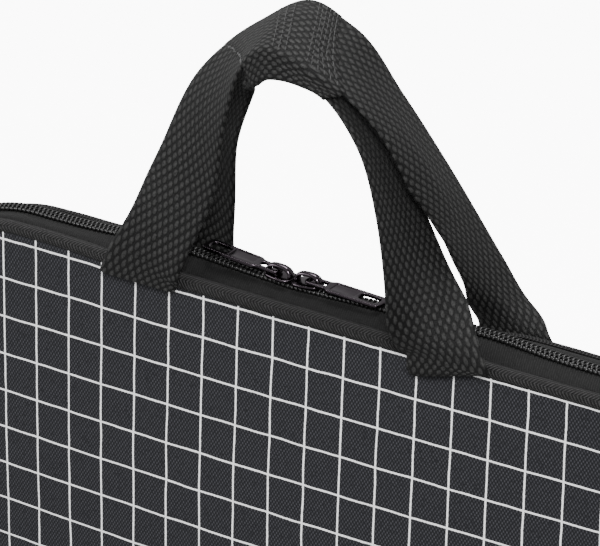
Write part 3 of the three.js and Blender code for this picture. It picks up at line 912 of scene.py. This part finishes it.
def strap_band(name, strap, start, end, hems=None, cup=None, columns=20, spacing=1.6):
    """A woven band with soft edges. hems maps an end (0 or -1) to how far its edge hangs below the
    station there, across the width from -1 to 1, and cup(share, s) lifts a point of the width."""
    samples = 200
    travelled = lengths([strap.frame(start + (end - start) * i / samples)[0] for i in range(samples + 1)])
    count = round(travelled[-1] / spacing)
    shares = [-1 + 2 * j / columns for j in range(columns + 1)]
    rings = []
    along = []
    index = 0
    half = STRAP_THICKNESS / 2
    for i in range(count + 1):
        target = travelled[-1] * i / count
        while index < samples - 1 and travelled[index + 1] < target:
            index += 1
        share = (target - travelled[index]) / (travelled[index + 1] - travelled[index])
        s = start + (end - start) * (index + min(share, 1)) / samples
        centre, across, up, width = strap.frame(s)
        top = []
        under = []
        for part in shares:
            edge = max(0, abs(part) - 0.93) / 0.07
            thick = half * (1 - 0.6 * edge ** 2)
            middle = centre + across * (part * width / 2) + up * (cup(part, s) if cup else 0)
            top.append(middle + up * thick)
            under.append(middle - up * thick)
        rings.append(top + under[::-1])
        along.append(target)
    for which, drop in (hems or {}).items():
        edge_ring = rings[which]
        drops = [drop(part) for part in shares]
        drops += drops[::-1]
        for k in (1, 2, 3):
            ring = [point - Vector((0, 0, hang * k / 3)) for point, hang in zip(edge_ring, drops)]
            reach = max(drops) * k / 3
            if which == 0:
                rings.insert(0, ring)
                along.insert(0, -reach)
            else:
                rings.append(ring)
                along.append(travelled[-1] + reach)
    fraction = [STRAP_WIDTH * j / columns for j in range(columns + 1)]
    return skin(name, rings, along, fraction + fraction[::-1] + [0])


def even_hem(part):
    """A level hem, a little higher at its corners."""
    return 0.5 - 0.4 * max(0, abs(part) - 0.85) / 0.15


def sagging_hem(part):
    """The right foot hangs lowest at its inner edge, whose corner is rounded."""
    return 7.6 - 3.7 * (part + 1) - 3.0 * (max(0, -0.75 - part) / 0.25) ** 1.6


CUP_STATION = 8.9


def crossing_cup(part, s):
    """Past the grip, the front side of the back strap folds down towards the front strap."""
    window = max(0, 1 - abs(s - CUP_STATION) / 1.5)
    return -5.0 * max(0, -part - 0.15) ** 1.4 * window ** 1.2


upper = Strap(moved(UPPER_STRAP, {
    4: (0.6, -0.6, STRAP_WIDTH), 5: (0.4, -1.0, STRAP_WIDTH), 6: (0, -0.9, STRAP_WIDTH),
    7: (0, -0.4, STRAP_WIDTH),
}))
lower = Strap(moved(LOWER_STRAP, {
    8: (-1.5, 0, STRAP_WIDTH), 9: (-1.8, 0, 28), 10: (-1.8, 0, 29), 11: (-0.8, 0, STRAP_WIDTH),
}))
back = Strap(moved(BACK_STRAP, {7: (0, -0.4, STRAP_WIDTH)}))


def place_strap(band, parent, handle, side, *nodes):
    finish_object(band, None, "webbing", WEBBING, *nodes)
    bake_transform(band)


place_strap(strap_band("front_strap_left_band", upper, 0, 5.85, {0: even_hem}), "front_half", "handle_front",
            -1, "front_strap_left", "front_strap_tail_left")
place_strap(strap_band("front_strap_right_band", lower, 7.2, len(LOWER_STRAP) - 1.5, {-1: sagging_hem}),
            "front_half", "handle_front", -1, "front_strap_right", "front_strap_tail_right")
place_strap(strap_band("back_strap_band", back, 0, len(BACK_STRAP) - 1, {0: even_hem, -1: even_hem},
                       crossing_cup),
            "back_half", "handle_back", 1, "back_strap", "back_strap_tail_left", "back_strap_tail_right")


# ---------- grip wrap ----------
WRAP_THICKNESS = 1.1
WRAP_GAP = 0.1  # between the wrap and the straps inside


def wrap_line(q, out):
    """The wrap's line q of the way along the grip, from its back edge over the top, down the front and
    under. out is how far it stands off the wrap's inner face."""
    below = lower.frame(5.4 + 1.9 * q)
    thick = out * ramp(q, -0.08, 0.12) * (1 - 0.85 * ramp(q, 0.8, 1))  # thin at the cut end and the far end
    clear = STRAP_THICKNESS / 2 + WRAP_GAP + thick

    def over(share):
        """The upper strap where the wrap's slanting line crosses it, from 1 at the rear to -1 in front."""
        part = (1 - share) / 2
        return upper.frame(4.45 + 2.25 * q + (0.6 + 0.2 * q) * part)

    def at(frame_at, share, beyond, lifted):
        centre, across, up, width = frame_at
        return centre + across * (share * width / 2 - beyond) + up * lifted

    front = over(-1)
    return [
        at(over(1), 1, 0, clear * 0.4), at(over(0.4), 0.4, 0, clear), at(over(-0.35), -0.35, 0, clear),
        at(front, -0.96, 0, clear), at(front, -1, clear * 0.8, clear * 0.6), at(front, -1, clear, -0.6),
        at(below, -1, clear, 0.6), at(below, -1, clear * 0.8, -clear * 0.6), at(below, -0.96, 0, -clear),
        at(below, -0.4, 0, -clear),
    ]


def build_wrap():
    rings = []
    along = [0.0]
    steps = 40
    for i in range(steps + 1):
        q = i / steps
        outside = wrap_line(q, WRAP_THICKNESS)
        inside = wrap_line(q, 0)
        rings.append(outside + inside[::-1])
        if i:
            along.append(along[-1] + (rings[-1][2] - rings[-2][2]).length)
    across = lengths(rings[steps // 2][:10])
    made = skin("grip_wrap_band", rings, along, across + across[::-1] + [0])
    return finish_object(made, "handle_front", "webbing", WRAP, "grip_wrap")


build_wrap()


def tubes(name, runs, radius, sides=5):
    """One mesh of thin round threads, each through its own list of points."""
    points = []
    faces = []
    turns = [2 * math.pi * k / sides for k in range(sides)]
    for run in runs:
        first = len(points)
        for i, centre in enumerate(run):
            direction = (run[min(i + 1, len(run) - 1)] - run[max(i - 1, 0)]).normalized()
            side = direction.orthogonal().normalized()
            other = direction.cross(side)
            for turn in turns:
                spoke = side * (radius * math.cos(turn)) + other * (radius * math.sin(turn))
                points.append((centre + spoke) * MM)
        faces += tube_faces(first, len(run), sides)
    return solid(name, points, faces)


def wrap_surface(q, share, proud):
    """A point over the wrap's top, from its rear edge (0) to its front edge (1)."""
    line = wrap_line(q, WRAP_THICKNESS + proud)[:4]
    total = lengths(line)
    target = total[-1] * share
    i = max(k for k in range(3) if total[k] <= target)
    return line[i].lerp(line[i + 1], (target - total[i]) / (total[i + 1] - total[i]))


def stitch_row(q):
    """Short stitches across the wrap."""
    runs = []
    count = 12
    for k in range(count):
        shares = [(k + 0.12 + 0.76 * t) / count for t in (0, 0.25, 0.5, 0.75, 1)]
        runs.append([wrap_surface(q, share, proud)
                     for share, proud in zip(shares, (-0.25, 0.12, 0.18, 0.12, -0.25))])
    return runs


LEFT_ROWS = (0.43, 0.495, 0.56)  # along the wrap, from its cut end (0) to its far end (1)
RIGHT_ROWS = (0.776, 0.812, 0.849, 0.886, 0.922, 0.96)
stitches = [run for q in LEFT_ROWS + RIGHT_ROWS for run in stitch_row(q)]
finish_object(tubes("grip_stitches", stitches, 0.24), "handle_front", "webbing", THREAD)

# Loose fibres at the wrap's cut end, in the light grey of a painted highlight.
FIBRES = 150
fibres = []
for _ in range(FIBRES):
    share = GEN.uniform(0.0, 1.0)
    root = wrap_surface(0.004, share, GEN.uniform(-0.9, 0.05))
    ahead = (wrap_surface(0.0, share, 0) - wrap_surface(0.03, share, 0)).normalized()
    stray = Vector((GEN.uniform(-1, 1), GEN.uniform(-1, 1), GEN.uniform(-1, 1))) * 0.5
    reach = GEN.uniform(0.3, 1.0)
    fibres.append([root, root + (ahead + stray * 0.5) * reach * 0.5, root + (ahead + stray) * reach])
finish_object(tubes("grip_cut_end", fibres, 0.06, 4), "handle_front", "webbing", FRAY_PAINTED_HIGHLIGHT)

# ---------- sliders and pulls ----------
PLATE_TOP = COIL_HEIGHT + 1.3
HINGE_X = 6.5
HINGE_HEIGHT = 4.4
TAB = 31.5  # a pull tab's length past its hinge
TAB_RIM = 1.6
TAB_SLOT = 21.4  # where the slot at its end starts


def slider_matrix(turn, slope):
    """Places a slider's own frame: X outward along the coil and Z up from its underside."""
    place = Matrix.Translation(Vector((MEETING_X, 0, PANEL_TOP + COIL_BASE - COIL_SAG)) * MM)
    return place @ Matrix.Rotation(turn, 4, "Z") @ Matrix.Rotation(-slope, 4, "Y")


def rounded(points, radius, steps=4):
    """A closed outline with its corners rounded."""
    outline = []
    count = len(points)
    for i in range(count):
        corner = Vector(points[i])
        before = Vector(points[i - 1]) - corner
        after = Vector(points[(i + 1) % count]) - corner
        cut = min(radius, before.length * 0.45, after.length * 0.45)
        start = corner + before.normalized() * cut
        end = corner + after.normalized() * cut
        for k in range(steps + 1):
            t = k / steps
            outline.append(start * (1 - t) ** 2 + corner * (2 * t * (1 - t)) + end * t * t)
    return outline


def rectangle(start, end, half):
    return [(start, -half), (end, -half), (end, half), (start, half)]


def slider_body(name):
    plan = rounded([(0.3, -2.6), (2.2, -4.3), (6.5, -4.3), (11.6, -3.1), (11.6, 3.1), (6.5, 4.3), (2.2, 4.3),
                    (0.3, 2.6)], 1.8)
    top = plate(name + "_top", [plan], 1.1, 0.3)
    top.location.z = (PLATE_TOP - 0.5) * MM
    under = plate(name + "_under", [plan], 0.8, 0.25)
    under.location.z = -1.65 * MM
    post = plate(name + "_post", [rounded(rectangle(0.6, 5, 0.3), 0.2)], 3.6, 0.05)
    post.location.z = 0.55 * MM
    bpy.context.view_layer.update()
    return join(name, [top, under, post])


def crown_arch(name):
    """A rounded strap of metal that bridges the slider's plate."""
    start, end, foot, top = 1.5, 11.1, PLATE_TOP + 0.2, 6.35
    centre_x = (start + end) / 2
    reach = (end - start) / 2
    steps = 24
    sides = 12
    rings = []
    path = []
    for i in range(steps + 1):
        angle = math.pi * (1 - i / steps)
        bulge = math.copysign(abs(math.cos(angle)) ** 0.75, math.cos(angle))
        path.append(Vector((centre_x + reach * bulge, 0, foot + (top - foot) * math.sin(angle) ** 0.85)))
    for i, point in enumerate(path):
        direction = (path[min(i + 1, steps)] - path[max(i - 1, 0)]).normalized()
        normal = Vector((-direction.z, 0, direction.x))
        share = abs(2 * i / steps - 1)
        half_width = 1.45 + 0.35 * share ** 2
        ring = []
        for k in range(sides):
            turn = 2 * math.pi * k / sides
            ring.append(point + Vector((0, half_width * math.cos(turn), 0))
                        + normal * (0.85 * math.copysign(abs(math.sin(turn)) ** 0.7, math.sin(turn))))
        rings.append(ring)
    return skin(name, rings, list(range(steps + 1)), list(range(sides + 1)))


def pull_tab(name):
    """A flat tab with a raised rim, a sunk field, a slot at its end and an eye that holds the crown."""
    bar, eye_end, half, neck = 0.65, 8.0, 4.0, 2.8
    edge = rounded([(-bar, -neck), (eye_end, -neck), (eye_end + 1.6, -half), (TAB, -half), (TAB, half),
                    (eye_end + 1.6, half), (eye_end, neck), (-bar, neck)], 2.2)
    slot_half = half - TAB_RIM
    eye = rounded(rectangle(bar, eye_end, 1.5), 1.3)
    slot = rounded(rectangle(TAB_SLOT, TAB - TAB_RIM, slot_half), slot_half * 0.98, 6)
    field = rounded(rectangle(10.4, 20.4, 3.1), 0.9)
    return join(name, [
        plate(name + "_web", [edge, eye, slot], 0.8, 0.15),
        plate(name + "_rim", [edge, eye, slot, field], 1.3, 0.22, 3),
    ])


left_slope = math.atan((COIL_RISE + COIL_SAG) / (MEETING_X + HANDLE_FEET))
right_slope = math.atan((COIL_RISE + COIL_SAG) / (HANDLE_FEET - MEETING_X))
LEFT_PULL_RAISED = math.radians(5)
RIGHT_PULL_LOWERED = math.radians(2)
# Each pull rests with a little play in its crown, given in its slider's own frame.
for end, turn, slope, tilt, play in (
    ("left", math.pi, left_slope, LEFT_PULL_RAISED - left_slope, (-0.2, 0.3, 0)),
    ("right", 0.0, right_slope, -right_slope - RIGHT_PULL_LOWERED, (0.3, -0.6, 0)),
):
    place = slider_matrix(turn, slope)
    body = slider_body(f"slider_{end}_casting")
    crown = crown_arch(f"slider_{end}_arch")
    pull = pull_tab(f"pull_{end}_tab")
    body.matrix_world = place
    crown.matrix_world = place
    hinge = Vector((HINGE_X, 0, HINGE_HEIGHT)) + Vector(play)
    pull.matrix_world = place @ Matrix.Translation(hinge * MM) @ Matrix.Rotation(-tilt, 4, "Y")
    smooth_by_angle(body, 50)
    smooth_by_angle(pull, 50)
    finish_object(body, f"slider_{end}", "black_nickel", NICKEL, f"slider_{end}_body")
    finish_object(crown, f"slider_{end}", "black_nickel", NICKEL, f"slider_{end}_crown")
    finish_object(pull, f"pull_{end}", "black_nickel", NICKEL, f"pull_{end}")


# ---------- stage, lights and camera ----------
def build_stage():
    size = 30.0
    mesh = bpy.data.meshes.new("floor")
    corners = [(-size, -size), (size, -size), (size, size), (-size, size)]
    mesh.from_pydata([(x, y, -0.0005) for x, y in corners], [], [(0, 1, 2, 3)])
    floor = link("floor", mesh)
    finish = Finish("pale_floor", 0.9, specular=0.1)
    finish.colour(finish.blend(finish.noise(0.002, 2.0), grey(0.88), grey(0.9)))
    finish.shader.inputs["Emission Color"].default_value = grey(1.0)
    finish.shader.inputs["Emission Strength"].default_value = 9.0
    mesh.materials.append(finish.material)
    # The floor is a bright sweep behind the case, and it lights nothing.
    floor.visible_diffuse = False
    floor.visible_glossy = False
    world = bpy.data.worlds.new("studio")
    world.use_nodes = True
    background = world.node_tree.nodes["Background"]
    background.inputs["Color"].default_value = (1, 1, 1, 1)
    background.inputs["Strength"].default_value = 0.55
    bpy.context.scene.world = world


LIGHT_TARGET = Vector((0, 0, 0.28))


def area_light(name, place, size, power):
    data = bpy.data.lights.new(name, "AREA")
    data.shape = "RECTANGLE"
    data.size = data.size_y = size
    data.energy = power
    light = link(name, data)
    light.location = place
    light.rotation_euler = (LIGHT_TARGET - Vector(place)).to_track_quat("-Z", "Y").to_euler()


def build_camera():
    data = bpy.data.cameras.new("camera")
    data.lens = 247
    data.sensor_width = 36
    data.clip_end = 20
    azimuth, elevation, roll = math.radians(33.76), math.radians(24.585), math.radians(0.4515)
    camera = link("camera", data)
    turn = Matrix.Rotation(azimuth, 4, "Z") @ Matrix.Rotation(math.pi / 2 - elevation, 4, "X")
    turn = turn @ Matrix.Rotation(roll, 4, "Z")
    camera.matrix_world = Matrix.Translation((0.7282, -1.0998, 0.8746)) @ turn
    bpy.context.scene.camera = camera


build_stage()
area_light("key", (0.9, -1.3, 1.5), 0.5, 48)
area_light("fill", (-1.3, -1.0, 0.9), 0.9, 18)
area_light("top", (-0.2, 0.3, 1.6), 0.8, 20)
build_camera()
